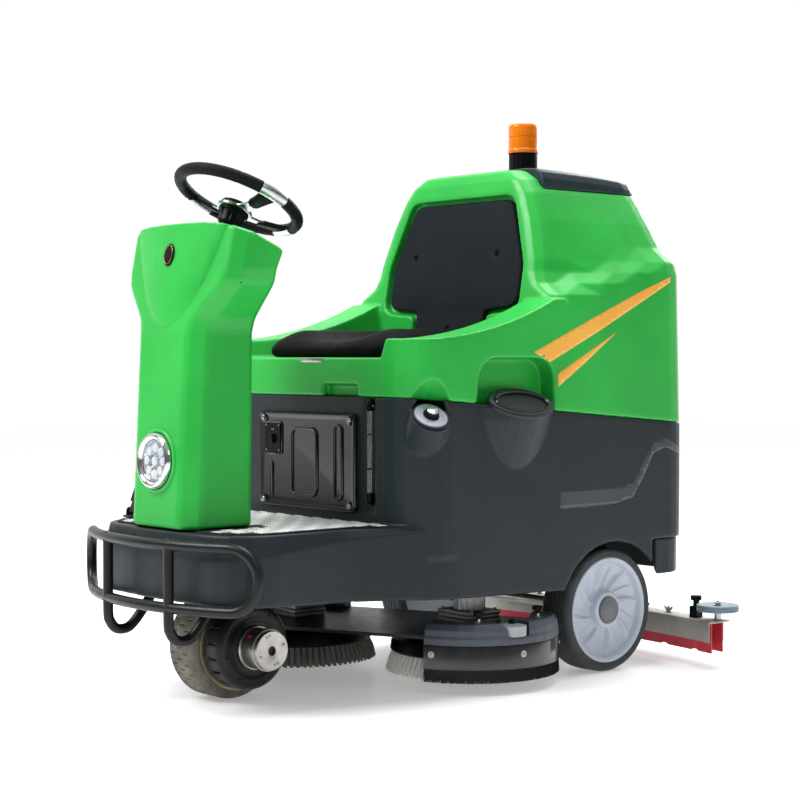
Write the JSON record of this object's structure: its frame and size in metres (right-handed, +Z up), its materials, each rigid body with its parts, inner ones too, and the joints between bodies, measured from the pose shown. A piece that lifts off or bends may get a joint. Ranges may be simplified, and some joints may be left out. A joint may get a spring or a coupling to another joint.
{
  "type": "ride-on floor scrubber dryer",
  "caption": "Ride-on floor scrubber-dryer with steered front drive wheel, lifting brush deck, rear squeegee, tilting recovery tank with seat, and warning beacon.",
  "frame": {"origin": "on the floor, below the middle of the machine's bounding box", "axes": "+Z up, -Y towards the front (the driver faces -Y), +X towards the machine's left side"},
  "size_m": [1.0764, 1.5395, 1.4075],
  "materials": {
    "green_shell": "satin moulded",
    "grey_shell": "fine textured moulded",
    "lid_shell": "satin moulded",
    "black_plastic": "gloss",
    "tyre_rubber": "matt",
    "black_rubber": "satin",
    "rim_plastic": "satin",
    "cap_plastic": "satin",
    "zinc_steel": "zinc plated",
    "aluminium": "cast and milled",
    "black_paint": "satin powder coat",
    "seat_skin": "foam skin",
    "pad_skin": "fine textured",
    "amber_lens": "ribbed, clear amber",
    "clear_lens": "clear",
    "red_rubber": "satin",
    "bristle": "tufted nylon",
    "slate_shell": "satin moulded",
    "roller_plastic": "satin",
    "battery_case": "matt"
  },
  "bodies": {
    "chassis": {"chassis_frame": "black_paint", "lower_body": "grey_shell", "rear_cover": "grey_shell", "floor_plate": "aluminium", "battery_door": "black_plastic", "charge_socket": "black_plastic", "level_tube": "clear_lens", "level_elbow_top": "black_plastic", "level_elbow_bottom": "black_plastic", "knob_bezel": "roller_plastic", "cup_liner": "black_plastic", "solution_tank": "grey_shell", "battery_pack": "battery_case", "column_cover": "green_shell", "lamp_bezel": "zinc_steel", "lamp_lens": "clear_lens", "emblem_plate": "black_plastic", "bumper": "black_paint", "pedal_base": "black_paint", "rear_axle": "zinc_steel"},
    "control_knob": {"control_knob": "black_plastic"},
    "pedal": {"accelerator_pedal": "black_rubber"},
    "rear_wheel_left": {"rear_tyre_left": "tyre_rubber", "rear_rim_left": "rim_plastic", "rear_hub_cap_left": "cap_plastic"},
    "rear_wheel_right": {"rear_tyre_right": "tyre_rubber", "rear_rim_right": "rim_plastic", "rear_hub_cap_right": "cap_plastic"},
    "steering_wheel": {"steering_rim": "black_plastic", "steering_hub": "black_plastic", "steering_spokes": "aluminium"},
    "fork": {"drive_fork": "zinc_steel", "drive_motor": "black_paint", "brake_can": "zinc_steel"},
    "drive_wheel": {"drive_tyre": "tyre_rubber", "drive_rim": "aluminium"},
    "deck": {"deck_plate": "black_paint", "deck_shell_left": "slate_shell", "deck_shell_right": "slate_shell", "brush_skirt_left": "black_rubber", "brush_skirt_right": "black_rubber", "brush_motor_left": "aluminium", "brush_motor_right": "aluminium"},
    "brush_left": {"brush_left": "bristle"},
    "brush_right": {"brush_right": "bristle"},
    "deck_roller_left": {"deck_roller_left": "roller_plastic"},
    "deck_roller_right": {"deck_roller_right": "roller_plastic"},
    "squeegee": {"squeegee_arm": "black_paint", "squeegee_bar": "aluminium", "squeegee_blade_front": "red_rubber", "squeegee_blade_rear": "red_rubber"},
    "squeegee_roller_left": {"squeegee_roller_left": "roller_plastic"},
    "squeegee_roller_right": {"squeegee_roller_right": "roller_plastic"},
    "tank": {"recovery_tank": "green_shell", "backrest_pad": "pad_skin", "seat_cushion": "seat_skin", "vacuum_motor": "aluminium"},
    "lid": {"tank_lid": "lid_shell", "beacon_base": "black_plastic", "beacon_lens": "amber_lens"}
  },
  "joints": [
    {"name": "steering_turn", "type": "hinge", "parent": "chassis", "child": "steering_wheel", "pos_m": [0, -0.468, 1.155], "axis": [0, 0.4431, 0.8965], "range_deg": [-150, 150]},
    {"name": "fork_steer", "type": "hinge", "parent": "chassis", "child": "fork", "pos_m": [0, -0.51, 0.345], "axis": [0, 0, 1], "range_deg": [-60.5, 60.5]},
    {"name": "drive_wheel_spin", "type": "hinge", "parent": "fork", "child": "drive_wheel", "pos_m": [0, -0.51, 0.128], "axis": [1, 0, 0], "continuous": true},
    {"name": "rear_wheel_spin_left", "type": "hinge", "parent": "chassis", "child": "rear_wheel_left", "pos_m": [0.358, 0.4135, 0.155], "axis": [1, 0, 0], "continuous": true},
    {"name": "rear_wheel_spin_right", "type": "hinge", "parent": "chassis", "child": "rear_wheel_right", "pos_m": [-0.358, 0.4135, 0.155], "axis": [1, 0, 0], "continuous": true},
    {"name": "pedal_press", "type": "hinge", "parent": "chassis", "child": "pedal", "pos_m": [-0.26, -0.592, 0.4205], "axis": [1, 0, 0], "range_deg": [0, 18], "stiffness_Nm_per_rad": 3, "springref_deg": -8.59},
    {"name": "control_knob_turn", "type": "hinge", "parent": "chassis", "child": "control_knob", "pos_m": [0.376, -0.204, 0.655], "axis": [0.6063, -0.1736, 0.776], "range_deg": [-140, 140]},
    {"name": "deck_lift", "type": "slide", "parent": "chassis", "child": "deck", "axis": [0, 0, 1], "range_m": [-0.028, 0.014]},
    {"name": "brush_spin_left", "type": "hinge", "parent": "deck", "child": "brush_left", "pos_m": [0.216, 0.064, 0.1], "axis": [0, 0, 1], "continuous": true},
    {"name": "brush_spin_right", "type": "hinge", "parent": "deck", "child": "brush_right", "pos_m": [-0.216, -0.136, 0.1], "axis": [0, 0, 1], "continuous": true},
    {"name": "deck_roller_spin_left", "type": "hinge", "parent": "deck", "child": "deck_roller_left", "pos_m": [0.39917, 0.0317, 0.14], "axis": [0, 0, 1], "continuous": true},
    {"name": "deck_roller_spin_right", "type": "hinge", "parent": "deck", "child": "deck_roller_right", "pos_m": [-0.39917, -0.1683, 0.14], "axis": [0, 0, 1], "continuous": true},
    {"name": "squeegee_lift", "type": "hinge", "parent": "chassis", "child": "squeegee", "pos_m": [0, 0.535, 0.205], "axis": [1, 0, 0], "range_deg": [-8, 4]},
    {"name": "squeegee_roller_spin_left", "type": "hinge", "parent": "squeegee", "child": "squeegee_roller_left", "pos_m": [0.485, 0.68, 0.15], "axis": [0, 0, 1], "continuous": true},
    {"name": "squeegee_roller_spin_right", "type": "hinge", "parent": "squeegee", "child": "squeegee_roller_right", "pos_m": [-0.485, 0.68, 0.15], "axis": [0, 0, 1], "continuous": true},
    {"name": "tank_tilt", "type": "hinge", "parent": "chassis", "child": "tank", "pos_m": [0, 0.702, 0.6165], "axis": [-1, 0, 0], "range_deg": [0, 45]},
    {"name": "lid_open", "type": "hinge", "parent": "tank", "child": "lid", "pos_m": [0, 0.684, 1.2122], "axis": [-1, 0, 0], "range_deg": [0, 80]}
  ],
  "couplings": [
    {"joint": "fork_steer", "follows": "steering_turn", "ratio": 0.4}
  ]
}
